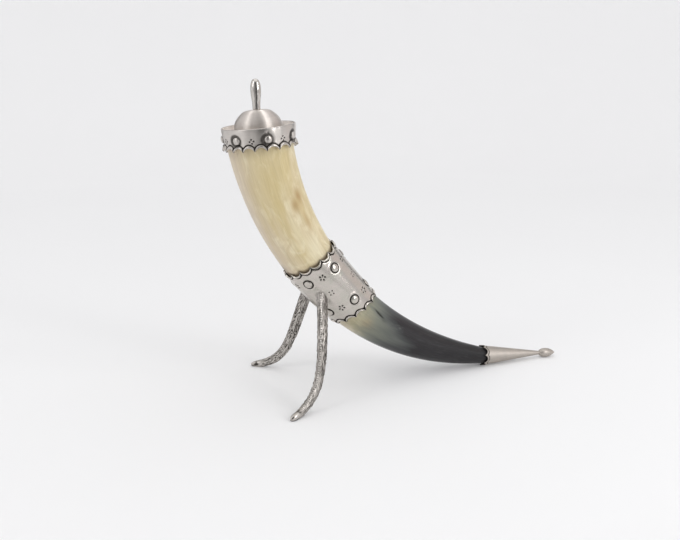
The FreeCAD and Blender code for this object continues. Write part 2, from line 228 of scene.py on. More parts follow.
def rise(low, high, value):
    """0 at low and 1 at high, which may be the smaller of the two."""
    t = np.clip((value - low) / (high - low), 0.0, 1.0)
    return t * t * (3.0 - 2.0 * t)


def bump(value, middle, width):
    """Bell of height 1 round the middle."""
    return np.exp(-((value - middle) / width) ** 2)


def noise(across, around, seed, cells_around=64):
    """Smooth noise from -1 to 1 on unit cells, repeating every cells_around cells around."""
    table = np.random.default_rng(seed).uniform(-1.0, 1.0, (256, cells_around))
    i = np.floor(across).astype(int)
    j = np.floor(around).astype(int)
    fx = rise(0.0, 1.0, across - i)
    fy = rise(0.0, 1.0, around - j)
    row, next_row = i % 256, (i + 1) % 256
    col, next_col = j % cells_around, (j + 1) % cells_around
    low = table[row, col] * (1.0 - fx) + table[next_row, col] * fx
    high = table[row, next_col] * (1.0 - fx) + table[next_row, next_col] * fx
    return low * (1.0 - fy) + high * fy


def angle_gap(a, b):
    """Signed difference of two angles in degrees, from -180 to 180."""
    return (a - b + 180.0) % 360.0 - 180.0


def angles(count):
    """Angles in degrees of even steps round a full turn."""
    return np.arange(count) * 360.0 / count


def circle(degrees, radius, height):
    """Points round Z; the radius and the height may differ from angle to angle."""
    turn = np.radians(degrees)
    parts = np.broadcast_arrays(radius * np.cos(turn), radius * np.sin(turn), height)
    return np.stack(parts, axis=-1)


def round_axis(axis, degrees):
    """Unit vectors square to an axis of the plane of symmetry, at the angles in degrees."""
    turn = np.radians(degrees)[..., None]
    return np.cos(turn) * SIDEWAYS + np.sin(turn) * np.cross(axis, SIDEWAYS)


def horn_point(u):
    return bezier(HORN_POLES, u)


def horn_direction(u):
    return unit(bezier_slope(HORN_POLES, u))


def horn_radius(u):
    return bezier(HORN_RADII, u)[..., 0]


def smooth_profile(poles, count):
    """Points of a Bezier outline given as (radius, height) poles."""
    return list(bezier(poles, steps(count)))


def straight(a, b, count):
    return list(np.linspace(a, b, count))


def finer(outline, count):
    """A closed outline with count points along each of its sides."""
    sides = zip(outline, outline[1:] + outline[:1])
    return [point for a, b in sides for point in straight(a, b, count + 1)[:-1]]


# ---- meshes ----

def new_object(name, data):
    thing = bpy.data.objects.new(name, data)
    bpy.context.scene.collection.objects.link(thing)
    return thing


def ring_faces(rings, closed=False):
    """Faces between rings of points; a ring of one point is a pole."""
    starts = np.cumsum([0] + [len(ring) for ring in rings])
    pairs = list(zip(range(len(rings) - 1), range(1, len(rings))))
    if closed:
        pairs.append((len(rings) - 1, 0))
    faces = []
    for a, b in pairs:
        count = max(len(rings[a]), len(rings[b]))
        i = np.arange(count)
        j = (i + 1) % count
        low = [starts[a] + k % len(rings[a]) for k in (i, j)][:len(rings[a])]
        high = [starts[b] + k % len(rings[b]) for k in (j, i)][:len(rings[b])]
        faces += np.stack(low + high, axis=1).tolist()
    return faces


def smooth_mesh(name, points, faces, material):
    mesh = bpy.data.meshes.new(name)
    mesh.from_pydata(points.tolist(), [], faces)
    mesh.polygons.foreach_set("use_smooth", [True] * len(mesh.polygons))
    mesh.materials.append(material)
    return mesh


def new_mesh(name, material, rings, layers, node, closed=False, place=None,
             body="horn"):
    """Piece through rings of points in mm; closed joins the last ring to the first.

    Each layer is a point attribute, given ring by ring."""
    faces = ring_faces(rings, closed)
    points = np.concatenate(rings)
    a, b, c = (points[[face[k] for face in faces]] for k in range(3))
    if np.einsum("ij,ij->i", a, np.cross(b, c)).sum() < 0.0:
        faces = [face[::-1] for face in faces]
    mesh = smooth_mesh(name, points * TO_METRES, faces, material)
    for key, values in layers.items():
        values = np.concatenate(values).astype(np.float32)
        kind, field = ("FLOAT_VECTOR", "vector") if values.ndim == 2 else ("FLOAT", "value")
        mesh.attributes.new(key, kind, "POINT").data.foreach_set(field, values.ravel())
    mesh.update()
    piece = new_object(name, mesh)
    if place is not None:
        piece.matrix_world = place
    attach(piece, body)
    if node:
        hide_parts(node)


def axis_place(centre, axis):
    """Placement whose Z is the axis and whose X is +Y, so that angles match round_axis."""
    columns = np.stack([SIDEWAYS, np.cross(axis, SIDEWAYS), axis], axis=1)
    place = Matrix(columns.tolist()).to_4x4()
    place.translation = Vector((centre * TO_METRES).tolist())
    return place


def turned(name, material, profile, columns, node, place, closed=False,
           body="horn"):
    """Piece turned about its own Z from (radius, height) points; radius 0 makes a pole."""
    rings = []
    for radius, height in profile:
        ring = circle(angles(columns), radius, height)
        rings.append(ring if radius > 1e-6 else ring[:1])
    layers = {"develop": rings, "patina_and_painted_light": [np.zeros(len(ring)) for ring in rings]}
    new_mesh(name, material, rings, layers, node, closed, place, body)


# ---- stamped ornament ----

def boss(x, y, stand, dome, halo, lip=0.0, shade=1.15, drift=0.0):
    """Domed boss in a sunk ring as wide as the halo, whose soot lies to one side by the drift."""
    r = np.hypot(x, y)
    inside = np.clip(1.0 - (r / dome) ** 2, 0.0, 1.0)
    beyond = np.clip(r - dome, 0.0, None)
    drifted = np.clip(np.hypot(x - drift, y) - dome, 0.0, None)
    foot = rise(0.84 * dome, dome, r)
    sunk = foot * np.exp(-(beyond / (0.8 * halo)) ** 2)
    soot = foot * (1.0 - rise(0.5 * halo, 1.3 * halo, drifted))
    raised = lip * bump(beyond, 2.2 * halo, 0.5 * halo)
    return stand * inside ** 0.5 - 0.4 * sunk + raised, shade * soot


def flower(x, y, petals, reach, turn):
    """Small stamped flower: a ring of long dents round a raised middle."""
    r = np.hypot(x, y)
    a = np.arctan2(y, x) - turn
    dents = (0.5 + 0.5 * np.cos(petals * a)) ** 1.3 * bump(r, reach, reach * 0.46)
    middle = bump(r, 0.0, reach * 0.34)
    return 0.25 * middle - 0.45 * dents, np.clip(1.35 * dents, 0.0, 1.0) * (1.0 - middle)


def square_stamp(x, y, half):
    """Four small dots at the corners of a square."""
    dots = bump(np.abs(x), half, 0.55) * bump(np.abs(y), half, 0.55)
    return -0.4 * dots, np.clip(1.3 * dots, 0.0, 1.0)


def scallops(degrees, count, start, radius):
    """Distance along an edge from the middle of the nearest arc, and the arcs' pitch."""
    step = 360.0 / count
    local = (degrees - start + step / 2.0) % step - step / 2.0
    return np.radians(local) * radius, FULL_TURN * radius / count


def arc_size(pitch, depth):
    """Radius and half width of the arcs that bite an edge."""
    half = pitch * 0.5 * 0.985
    return (half ** 2 + depth ** 2) / (2.0 * depth), half


def arc_bite(x, pitch, depth):
    """How far the bitten arc cuts into the sheet at x."""
    radius, half = arc_size(pitch, depth)
    x = np.clip(np.abs(x), 0.0, half)
    return np.sqrt(np.clip(radius ** 2 - x ** 2, 0.0, None)) - (radius - depth)


def beyond_arc(x, y, pitch, depth):
    """Distance into the sheet from a bitten arc; y starts at the line through the points."""
    radius, _ = arc_size(pitch, depth)
    return np.hypot(x, y + (radius - depth)) - radius


def crescent(x, y, pitch, depth, thick):
    """Raised crescent along a bitten arc, with a sooty groove behind it and a painted highlight
    along its ridge.
    """
    distance = beyond_arc(x, y, pitch, depth)
    share = np.clip(np.abs(x) / arc_size(pitch, depth)[1], 0.0, 1.0)
    width = thick / 2.0 * (1.0 - 0.50 * share ** 2)
    ridge = np.clip(1.0 - ((distance - width) / width) ** 2, 0.0, 1.0) ** 0.5
    groove = bump(distance, 2.0 * width + 0.50, 0.55)
    point = bump(share, 1.0, 0.16) * bump(distance, 1.1, 1.2)
    soot = np.clip(groove * 1.3 + 1.2 * point, 0.0, 1.0)
    # Below zero along the ridge: a painted highlight.
    return 0.95 * ridge - 0.45 * groove - 0.35 * point, soot - 0.7 * ridge * (1.0 - soot)


def press(sheet, place, stamp, *sizes):
    """Adds a stamp's height and darkness to a sheet, in the flat plane at its place."""
    points, relief, dark = sheet
    centre, across, along = place
    offset = points - centre
    near = (offset ** 2).sum(axis=-1) < STAMP_REACH ** 2
    height, shade = stamp(offset[near] @ across, offset[near] @ along, *sizes)
    relief[near] += height
    dark[near] = np.maximum(dark[near], shade)


def press_edge(sheet, arc, inward, pitch, bite, thick):
    """Adds a row of crescents to a sheet along its bitten edge."""
    _, relief, dark = sheet
    height, shade = crescent(arc, inward, pitch, bite, thick)
    near = inward < STAMP_REACH
    relief += np.where(near, height, 0.0)
    # The darkness goes below zero on the ridges: painted highlights.
    dark += np.where(near, shade, 0.0)


# ---- materials ----

def nodes_of(name):
    material = bpy.data.materials.new(name)
    material.use_nodes = True
    return material, material.node_tree, material.node_tree.nodes["Principled BSDF"]


def plug(node, inputs):
    """Links a node's inputs, by name or number, to other nodes' outputs or sets constants."""
    for key, value in inputs.items():
        socket = node.inputs[key]
        if isinstance(value, bpy.types.NodeSocket):
            node.id_data.links.new(value, socket)
        elif socket.type == "RGBA":
            socket.default_value = (*value, 1.0)
        else:
            socket.default_value = value


def add(tree, kind, inputs, **settings):
    """New node with its settings and inputs."""
    node = tree.nodes.new("ShaderNode" + kind)
    for key, value in settings.items():
        setattr(node, key, value)
    plug(node, inputs)
    return node


def attribute(tree, name, output="Fac"):
    return add(tree, "Attribute", {}, attribute_name=name).outputs[output]


def maths(operation, a, b, clamp=False):
    node = add(a.id_data, "Math", {0: a, 1: b}, operation=operation, use_clamp=clamp)
    return node.outputs[0]


def times(a, b):
    return maths("MULTIPLY", a, b)


def swing(value, width):
    """A noise value swung about zero."""
    return times(maths("SUBTRACT", value, 0.5), width)


def mix(factor, a, b):
    """Mixed colour of two sockets or constants; the factor is a socket."""
    node = add(factor.id_data, "Mix", {}, data_type="RGBA", clamp_factor=True)
    plug(node, {0: factor, 6: a, 7: b})
    return node.outputs[2]


def ramp(value, stops):
    """Colour ramp; each stop is a position and a grey or a colour."""
    node = add(value.id_data, "ValToRGB", {"Fac": value})
    elements = node.color_ramp.elements
    while len(elements) < len(stops):
        elements.new(0.5)
    for element, (position, colour) in zip(elements, stops):
        element.position = position
        element.color = (colour,) * 3 + (1.0,) if isinstance(colour, float) else (*colour, 1.0)
    return node.outputs["Color"]


def noise_node(vector, scale, detail=3.0, rough=0.5, distortion=0.0):
    """Noise; three numbers as its scale stretch it along the vector's axes."""
    tree = vector.id_data
    if isinstance(scale, tuple):
        vector = add(tree, "Mapping", {"Vector": vector, "Scale": scale}).outputs[0]
        scale = 1.0
    inputs = {"Vector": vector, "Scale": scale, "Detail": detail, "Roughness": rough,
              "Distortion": distortion}
    return add(tree, "TexNoise", inputs).outputs["Fac"]


def relief_node(shader, heights):
    """Bump from (height socket, distance in mm) pairs, one after the other."""
    normal = None
    for height, distance in heights:
        inputs = {"Strength": 1.0, "Distance": distance * TO_METRES, "Height": height}
        if normal is not None:
            inputs["Normal"] = normal
        normal = add(shader.id_data, "Bump", inputs).outputs["Normal"]
    plug(shader, {"Normal": normal})


# Two clean colours and the dark one, least and most roughness, the brushing's scale and depth,
# wear of the dark, the mottling's depth, anisotropy and its turn.
PEWTERS = {
    "band_pewter": ((0.64, 0.59, 0.55), (0.575, 0.555, 0.50), (0.055, 0.05, 0.045),
        (0.20, 0.28), (0.05, 0.05, 1.6), 0.005, 0.35, 0.006, 0.0, 0.0),
    "collar_pewter": ((0.64, 0.60, 0.565), (0.60, 0.565, 0.53), (0.065, 0.058, 0.052),
        (0.30, 0.36), (0.05, 0.05, 5.0), 0.008, 0.35, 0.003, 0.8, 0.25),
    "liner_pewter": ((0.60, 0.58, 0.55), (0.55, 0.53, 0.50), (0.08, 0.075, 0.07),
        (0.25, 0.36), (0.05, 0.05, 4.0), 0.01, 0.5, 0.010, 0.4, 0.0),
    # The lid's pewter is much lighter than the other sheet pewter: painted light, on top of its
    # spun finish.
    "spun_pewter_painted_light": ((0.89, 0.83, 0.78), (0.86, 0.80, 0.75), (0.10, 0.09, 0.085),
        (0.52, 0.57), (0.04, 0.04, 6.0), 0.006, 0.3, 0.0005, 0.95, 0.25),
    "polished_pewter": ((0.64, 0.61, 0.575), (0.62, 0.59, 0.555), (0.10, 0.09, 0.08),
        (0.09, 0.14), (0.4, 0.4, 0.4), 0.0004, 0.3, 0.0004, 0.0, 0.0),
    "antique_pewter": ((0.48, 0.45, 0.42), (0.42, 0.395, 0.365), (0.050, 0.045, 0.040),
        (0.26, 0.36), (0.3, 0.3, 0.08), 0.02, 0.4, 0.012, 0.0, 0.0),
    "solder_pewter": ((0.62, 0.585, 0.54), (0.56, 0.53, 0.49), (0.10, 0.09, 0.08),
        (0.3, 0.4), (0.3, 0.3, 0.3), 0.02, 0.5, 0.012, 0.0, 0.0),
    "plain_pewter": ((0.525, 0.48, 0.435), (0.49, 0.45, 0.41), (0.08, 0.07, 0.065),
        (0.46, 0.52), (0.4, 0.4, 0.06), 0.006, 0.4, 0.008, 0.0, 0.0),
}
# Bright pewter for worn highs, and for painted highlights and painted reflections.
BARE_PEWTER_AND_PAINTED_LIGHT = (0.92, 0.88, 0.84)


def pewter(name):
    """Pewter: brushed along its rings, mottled, dark where its layer says, and bare bright pewter
    where that layer is below zero: worn highs, and painted highlights and painted reflections.
    """
    bright, warm, dark, gloss, brush, lines, wear, mottle, anisotropy, turn = PEWTERS[name]
    material, tree, shader = nodes_of(name)
    develop = attribute(tree, "develop", "Vector")
    patina_and_painted_light = attribute(tree, "patina_and_painted_light")
    cloud = noise_node(develop, 0.16, 5.0, 0.6)
    speck = noise_node(develop, 1.4, 3.0, 0.6)
    brushed = noise_node(develop, brush, 4.0, 0.65)
    body = mix(ramp(cloud, [(0.35, 0.0), (0.65, 1.0)]), bright, warm)
    body = mix(ramp(brushed, [(0.3, 0.0), (0.7, 0.12)]), body, dark)
    shade = maths("ADD", patina_and_painted_light, swing(speck, wear))
    shade = times(shade, ramp(patina_and_painted_light, [(0.02, 0.0), (0.2, 1.0)]))
    colour = mix(ramp(shade, [(0.12, 0.0), (0.75, 1.0)]), body, dark)
    # Below zero the layer paints bare bright pewter: worn highs on the legs, painted highlights on
    # the crescents' ridges and a painted reflection on the collar's inner wall.
    colour = mix(maths("MULTIPLY", patina_and_painted_light, -1.0, clamp=True), colour, BARE_PEWTER_AND_PAINTED_LIGHT)
    roughness = mix(patina_and_painted_light, ramp(cloud, [(0.3, gloss[0]), (0.7, gloss[1])]), (0.6, 0.6, 0.6))
    plug(shader, {"Base Color": colour, "Metallic": 1.0, "Roughness": roughness,
                  "Anisotropic": anisotropy, "Anisotropic Rotation": turn})
    if anisotropy:
        tangent = add(tree, "Tangent", {}, direction_type="RADIAL", axis="Z")
        plug(shader, {"Tangent": tangent.outputs["Tangent"]})
    relief_node(shader, [(brushed, lines), (cloud, mottle * 8.0), (speck, mottle)])
    return material


def horn_material():
    """Natural horn: colours run along it, with streaks that follow its length."""
    material, tree, shader = nodes_of("natural_horn")
    develop = attribute(tree, "develop", "Vector")
    tone, stain_and_shade, gash, blush, yellow, edge = (attribute(tree, name) for name in HORN_LAYERS)
    broad = noise_node(develop, (0.07, 0.07, 0.016), 3.0, 0.5, 0.5)
    streak = noise_node(develop, (0.30, 0.30, 0.018), 4.0, 0.55, 0.3)
    fibre = noise_node(develop, (1.3, 1.3, 0.05), 4.0, 0.6, 0.2)
    cloud = noise_node(develop, (0.13, 0.13, 0.07), 4.0, 0.55, 0.8)
    wavy = maths("ADD", maths("ADD", tone, swing(broad, 0.15)), swing(streak, 0.06))
    colour = ramp(wavy, [
        (0.00, (0.650, 0.552, 0.352)), (0.30, (0.665, 0.557, 0.360)),
        (0.47, (0.430, 0.395, 0.270)), (0.525, (0.310, 0.300, 0.215)),
        (0.575, (0.190, 0.198, 0.160)), (0.630, (0.110, 0.118, 0.105)),
        (0.680, (0.050, 0.052, 0.052)), (0.715, (0.014, 0.012, 0.014)),
        (1.00, (0.009, 0.008, 0.009))])
    pale = ramp(wavy, [(0.42, 1.0), (0.56, 0.0)])
    deep = ramp(wavy, [(0.56, 0.0), (0.64, 1.0)])
    whitish = times(maths("MULTIPLY", yellow, -1.0, clamp=True), 0.75)
    covers = (
        (cloud, 0.47, 0.0, 0.64, 0.85, pale, (0.810, 0.730, 0.520)),
        (broad, 0.46, 0.0, 0.62, 0.60, pale, (0.595, 0.480, 0.232)),
        (yellow, 0.0, 0.0, 0.9, 0.8, pale, (0.590, 0.480, 0.240)),
        (whitish, 0.0, 0.0, 1.0, 1.0, pale, (0.780, 0.710, 0.510)),
        # The edge layer lays a painted sheen on the pale part of the horn.
        (streak, 0.3, 0.5, 0.7, 1.0, times(edge, pale), (0.600, 0.510, 0.415)),
        (cloud, 0.35, 0.65, 0.6, 1.0, blush, (0.440, 0.290, 0.125)),
        (streak, 0.50, 0.0, 0.72, 0.28, pale, (0.430, 0.350, 0.180)),
        (fibre, 0.45, 0.0, 0.75, 0.22, pale, (0.330, 0.250, 0.130)),
        (fibre, 0.5, 0.0, 0.8, 0.35, deep, (0.075, 0.074, 0.076)))
    for value, low, at_low, high, at_high, where, shade in covers:
        cover = times(ramp(value, [(low, at_low), (high, at_high)]), where)
        colour = mix(cover, colour, shade)
    # Dark brown of the glue stain and of the painted shade along the mounts' edges.
    colour = mix(times(stain_and_shade, 0.85), colour, (0.070, 0.040, 0.020))
    colour = mix(gash, colour, (0.012, 0.011, 0.010))
    roughness = mix(stain_and_shade, ramp(cloud, [(0.3, 0.32), (0.7, 0.42)]), (0.8, 0.8, 0.8))
    plug(shader, {"Base Color": colour, "Roughness": roughness, "IOR": 1.54,
                  "Specular IOR Level": 0.30, "Coat Weight": 0.08, "Coat Roughness": 0.15})
    relief_node(shader, [(streak, 0.08), (fibre, 0.02)])
    return material


# ---- the horn ----

def spot(u, degrees, at_u, at_degrees, wide_u, wide_degrees, strength=1.0):
    """Soft spot on the horn's outer surface."""
    beside = angle_gap(degrees, at_degrees)
    return strength * bump(u, at_u, wide_u) * bump(beside, 0.0, wide_degrees)


def spots(u, degrees, marks):
    return sum(spot(u, degrees, *mark) for mark in marks)


def glue_stain_and_edge_shade(u, degrees, points):
    """Brown glue stain along both edges of the band, with painted shade there where the sheet's
    edge stands off the horn; faintly, painted shadow and stain under the collar at the mouth.
    """
    place, normal, _, _ = band_section(1.0)
    before = (horn_point(BAND_START) - points) @ horn_direction(BAND_START)
    after = (points - place) @ normal
    for angle, wide, reach in GLUE_CREEPS:
        before = before - reach * bump(angle_gap(degrees, angle), 0.0, wide)
    # Dark on the horn from the band's upper end inward, so it shows inside the upper edge's arcs:
    # glue stain and painted shade of the sheet's edge; where glue creeps out it reaches further.
    stain_and_shade = 0.95 * rise(0.2, -2.4, before)
    stain_and_shade = np.maximum(stain_and_shade, spot(u, degrees, *GLUE_STAIN))
    # Faint dark ring under the collar at the mouth: painted shadow of the collar, with stain.
    stain_and_shade = np.maximum(stain_and_shade, 0.16 * bump(u, 0.032, 0.012))
    # Dark on the horn under the band's lower part, fading out at its end, so it shows inside the
    # lower edge's arcs: glue stain and painted shade of the sheet's edge.
    stain_and_shade = np.where(after > -6.0, 0.75 * rise(-1.2, -3.2, after), stain_and_shade)
    return np.clip(stain_and_shade, 0.0, 1.0)


def horn_marks(u, degrees, points):
    """Layers of the outer surface: where its colour lies, its patches and damage, glue stain with
    painted shade along the mounts' edges, and a painted sheen along the outside of the bend.
    """
    lead = 0.030 + 0.025 * rise(0.45, 0.60, u)
    tone = u + lead * np.cos(np.radians(angle_gap(degrees, 100.0))) - 0.012
    scratches = np.clip(noise(u * 160.0, degrees / 3.0, 25, 120), 0.0, 1.0)
    tone += spots(u, degrees, TONE_SPOTS) + scratches * spot(u, degrees, *SCRATCHED)
    line = 0.5725 + 0.0036 * (degrees - 153.5)
    gash = np.clip(spot(u, degrees, *GASH) * bump(u - line, 0.0, 0.0115), 0.0, 0.92)
    gash = np.clip(np.maximum(gash, spots(u, degrees, SCUFFS)), 0.0, 1.0)
    blush = np.max([spot(u, degrees, *mark) for mark in BLUSH_SPOTS], axis=0)
    yellow = spots(u, degrees, YELLOW_SPOTS)
    for at_u, at_degrees, wide_u, wide_degrees in SWIRLS:
        swirl = np.hypot((u - at_u) / wide_u, angle_gap(degrees, at_degrees) / wide_degrees)
        swirl += 0.25 * noise(u * 70.0, degrees / 9.0, 24, 40)
        yellow -= 0.55 * bump(swirl, 1.0, 0.18) * rise(-0.6, 0.6, (u - at_u) / wide_u)
    # Painted sheen: a pale, pinkish streak along the outside of the bend.
    edge = rise(206.0, 262.0, degrees) * rise(345.0, 285.0, degrees)
    stain_and_shade = glue_stain_and_edge_shade(u, degrees, points)
    return np.stack([tone, stain_and_shade, gash, blush, np.clip(yellow, -1.0, 1.0), edge])


def horn_axis(u):
    return -MOUTH_AXIS if u == 0.0 else horn_direction(u)


def horn_outside(degrees):
    """Rings from the cut edge to the end of the hidden tip core, which has the last layers."""
    rings, develop, marks = [], [], []
    length = 0.0
    last = horn_point(0.0)
    for u in steps(HORN_GRID[0]):
        centre = horn_point(u)
        length += norm(centre - last)
        last = centre
        outward = round_axis(horn_axis(u), degrees)
        wander = noise(length / 34.0, degrees / 45.0, 3, 8)
        grain = noise(length / 60.0, degrees / 7.5, 4, 48)
        radius = horn_radius(u) - 0.16 * (1.0 + wander) - 0.05 * (1.0 + grain)
        points = centre + outward * radius[:, None]
        marks.append(horn_marks(u, degrees, points))
        gash = marks[-1][HORN_LAYERS.index("gash")]
        rings.append(points - outward * (0.5 * gash)[:, None])
        develop.append(circle(degrees, horn_radius(u), length))
    core = CAP_AXIS * TIP_CORE_LENGTH
    for share in np.linspace(0.1, 1.0, 10):
        radius = HORN_END_RADIUS + (TIP_CORE_END_RADIUS - HORN_END_RADIUS) * share - 0.3
        rings.append(last + core * share + round_axis(CAP_AXIS, degrees) * radius)
    rings.append((last + core)[None, :])
    for ring in rings[len(develop):]:
        develop.append(np.tile(develop[-1][:1], (len(ring), 1)))
        marks.append(np.tile(marks[-1][:, :1], (1, len(ring))))
    return rings, develop, marks


def horn_cavity(degrees):
    """Rings of the hollow, from its closed end up to the cut edge."""
    rings, develop, marks = [], [], []
    for share in np.linspace(1.0, 0.0, CAVITY_STEPS + 1):
        u = CAVITY_END * share
        closing = max(0.0, (u - CAVITY_ROUNDING) / (CAVITY_END - CAVITY_ROUNDING))
        wall = MOUTH_WALL + WALL_GROWTH * u
        radius = (horn_radius(u) - wall) * sqrt(max(0.0, 1.0 - closing ** 2))
        count = 1 if share == 1.0 else len(degrees)
        rings.append((horn_point(u) + round_axis(horn_axis(u), degrees) * radius)[:count])
        develop.append(circle(degrees, radius, 300.0 * u)[:count])
        # The hollow is painted a darker brown further in: painted shade in the recess.
        values = {"tone": 0.2 + 0.5 * u, "stain_and_shade": 0.25 * u}
        marks.append(np.tile([[values.get(key, 0.0)] for key in HORN_LAYERS], (1, count)))
    return rings, develop, marks


def horn():
    degrees = angles(HORN_GRID[1])
    halves = zip(horn_cavity(degrees), horn_outside(degrees))
    rings, develop, marks = (inner + outer for inner, outer in halves)
    layers = {"develop": develop}
    for k, key in enumerate(HORN_LAYERS):
        layers[key] = [mark[k] for mark in marks]
    new_mesh("horn_shell", horn_material(), rings, layers, "horn_body")


# ---- the band ----

def band_section(share):
    """Centre, normal, and radius across and in the bend's plane of the sleeve."""
    u = BAND_START + (BAND_END - BAND_START) * share
    direction = horn_direction(u)
    slant = radians(BAND_SLANT * sin(pi / 2.0 * min(1.0, max(0.0, share))))
    bulge = max(0.0, BAND_BULGE * 4.0 * share * (1.0 - share))
    centre = horn_point(u) + np.cross(direction, SIDEWAYS) * bulge
    normal = direction * cos(slant) + np.cross(SIDEWAYS, direction) * sin(slant)
    radius = float(horn_radius(u)) + bulge
    return centre, normal, radius, radius / cos(slant)


def band_place(share, degrees, offset):
    """Point on the sleeve, and the unit vectors round it and along it."""
    centre, normal, across, within = band_section(share)
    inside = np.cross(normal, SIDEWAYS)
    c, q = cos(radians(degrees)), sin(radians(degrees))
    point = centre + (across + offset) * c * SIDEWAYS + (within + offset) * q * inside
    around = -q * SIDEWAYS + c * inside
    return point, around, np.cross(c * SIDEWAYS + q * inside, around)


def sleeve_grid(shares, degrees, offset):
    """Points and outward vectors of the sleeve; shares is one row of values for every ring."""
    table = np.linspace(-0.05, 1.05, 111)
    sections = np.transpose([np.hstack(band_section(share)) for share in table])
    values = np.stack([np.interp(shares, table, column) for column in sections], axis=-1)
    inside = np.cross(unit(values[..., 3:6]), SIDEWAYS)
    sideways = np.cos(np.radians(degrees))[:, None] * SIDEWAYS
    inside = np.sin(np.radians(degrees))[:, None] * inside
    across, within = values[..., 6:7], values[..., 7:8]
    points = values[..., :3] + (across + offset) * sideways + (within + offset) * inside
    return points, sideways + inside


def band_column(step, share):
    """Angle of a column of stamps; the columns lean a little along the band."""
    return 156.8 + BAND_COLUMN_PITCH * step + 26.0 * (share - BAND_STAMP_ROWS[0])


def middle_band():
    rows, columns = BAND_GRID
    degrees = angles(columns)
    offset = GLUE_GAP + SHEET
    guide, _ = sleeve_grid(steps(41)[:, None], degrees, offset)
    length = norm(np.diff(guide, axis=0), axis=-1).sum(axis=0)
    upper, lower = (scallops(degrees, *edge, BAND_RADIUS) for edge in BAND_SCALLOPS)
    top = arc_bite(*upper, BAND_BITE) / length
    low = 1.0 - arc_bite(*lower, BAND_BITE) / length
    v = steps(rows)[:, None]
    shares = top + (low - top) * (v - 0.03 * np.sin(FULL_TURN * v))
    points, outward = sleeve_grid(shares, degrees, offset)
    relief, dark = np.zeros(shares.shape), np.zeros(shares.shape)
    sheet = (points, relief, dark)
    for (arc, pitch), inward in ((upper, shares * length), (lower, (1.0 - shares) * length)):
        press_edge(sheet, arc, inward, pitch, BAND_BITE, BAND_CRESCENT)
    for row, share in enumerate(BAND_STAMP_ROWS):
        for step in range(-5, 5):
            place = band_place(share, band_column(step, share), offset)
            if step % 2 == 0:
                press(sheet, place, boss, *BAND_BOSS)
            else:
                press(sheet, place, flower, *BAND_FLOWER, 0.4 * step + row)
    for step in range(-5, 5, 2):
        place = band_place(BAND_SQUARE_ROW, band_column(step, BAND_SQUARE_ROW), offset)
        press(sheet, place, square_stamp, BAND_SQUARE)
    seam = bump(np.radians(angle_gap(degrees, BAND_SEAM_ANGLE)) * BAND_RADIUS, 0.0, 0.5)
    relief += 0.10 * noise(shares * 5.0, degrees / 36.0, 11, 10) - 0.22 * seam
    dark = np.maximum(dark, 0.6 * seam)

    inner, _ = sleeve_grid(shares[::-1][::12], degrees, GLUE_GAP)
    edges, _ = sleeve_grid(shares[[-1, 0]], degrees, offset - 0.5 * SHEET)
    rings = [*(points + outward * relief[..., None]), edges[0], *inner, edges[1]]
    hidden = len(rings) - rows
    develop = [circle(degrees, BAND_RADIUS, ring) for ring in shares * length]
    develop += [circle(degrees, BAND_RADIUS, 0.0)] * hidden
    layers = {"develop": develop, "patina_and_painted_light": [*dark] + [np.full(columns, 0.9)] * hidden}
    new_mesh("middle_band_sheet", pewter("band_pewter"), rings, layers, "middle_band",
             closed=True)


# ---- the mouth ----

def collar_radius(z):
    """Outer radius of the collar's wall at a height below its top edge."""
    return 27.3 + 1.0 * rise(-12.7, -1.0, z) + 1.0 * rise(-12.5, -16.6, z)


def collar_place(degrees, level):
    """Point on the collar's wall, and the unit vectors round it and up."""
    around = circle(degrees + 90.0, 1.0, 0.0)
    return circle(degrees, collar_radius(level), level), around, UP


def rim_collar():
    rows, columns = COLLAR_GRID
    degrees = angles(columns)
    uneven = degrees + 1.6 * noise(0.0, degrees / 36.0, 23, 10)
    arc, pitch = scallops(uneven, *COLLAR_SCALLOPS, COLLAR_RADIUS)
    low = COLLAR_LIP + arc_bite(arc, pitch, COLLAR_BITE)
    v = steps(rows)[:, None]
    z = -0.45 + (low + 0.45) * v
    points = circle(degrees, collar_radius(z), z)
    relief, dark = np.zeros(z.shape), np.zeros(z.shape)
    sheet = (points, relief, dark)
    press_edge(sheet, arc, z - COLLAR_LIP, pitch, COLLAR_BITE, COLLAR_CRESCENT)
    for k in range(COLLAR_BOSSES):
        angle = 180.0 + 360.0 / COLLAR_BOSSES * k
        press(sheet, collar_place(angle, COLLAR_BOSS_LEVEL), boss, *COLLAR_BOSS)
        angle += 180.0 / COLLAR_BOSSES
        press(sheet, collar_place(angle, COLLAR_FLOWER_LEVEL), flower, *COLLAR_FLOWER)
    tick = bump(np.radians(angle_gap(degrees, 180.0)) * COLLAR_RADIUS, 0.0, 0.6)
    tick = tick * bump(z, -3.4, 1.0)
    relief += 0.05 * noise(v * 3.0, degrees / 30.0, 21, 12) - 0.3 * tick
    dark = np.maximum(dark, 0.8 * tick)

    rim = []
    for angle in np.radians(np.linspace(180.0, 0.0, 9)):
        radius = collar_radius(-0.5) - 0.5 + 0.5 * cos(angle)
        rim.append(circle(degrees, radius, 0.5 * sin(angle) - 0.5))
    inner = []
    for share in np.linspace(1.0, 0.0, 14):
        height = -0.6 + (low + 0.6) * share
        inner.append(circle(degrees, collar_radius(height) - SHEET, height))
    edge = circle(degrees, collar_radius(low) - 0.5 * SHEET, low - 0.12)
    surface = points + circle(degrees, 1.0, 0.0) * relief[..., None]
    rings = rim + [*surface] + [edge] + inner
    plain = np.zeros(columns)
    # The inner wall gets a layer of -1, bare bright pewter: a painted reflection of the lid and
    # the bright room.
    patina_and_painted_light = [plain] * len(rim) + [*dark] + [plain] + [plain - 1.0] * len(inner)
    layers = {"develop": rings, "patina_and_painted_light": patina_and_painted_light}
    new_mesh("rim_collar_sheet", pewter("collar_pewter"), rings, layers, "rim_collar",
             closed=True, place=axis_place(RIM_CENTRE, MOUTH_AXIS))


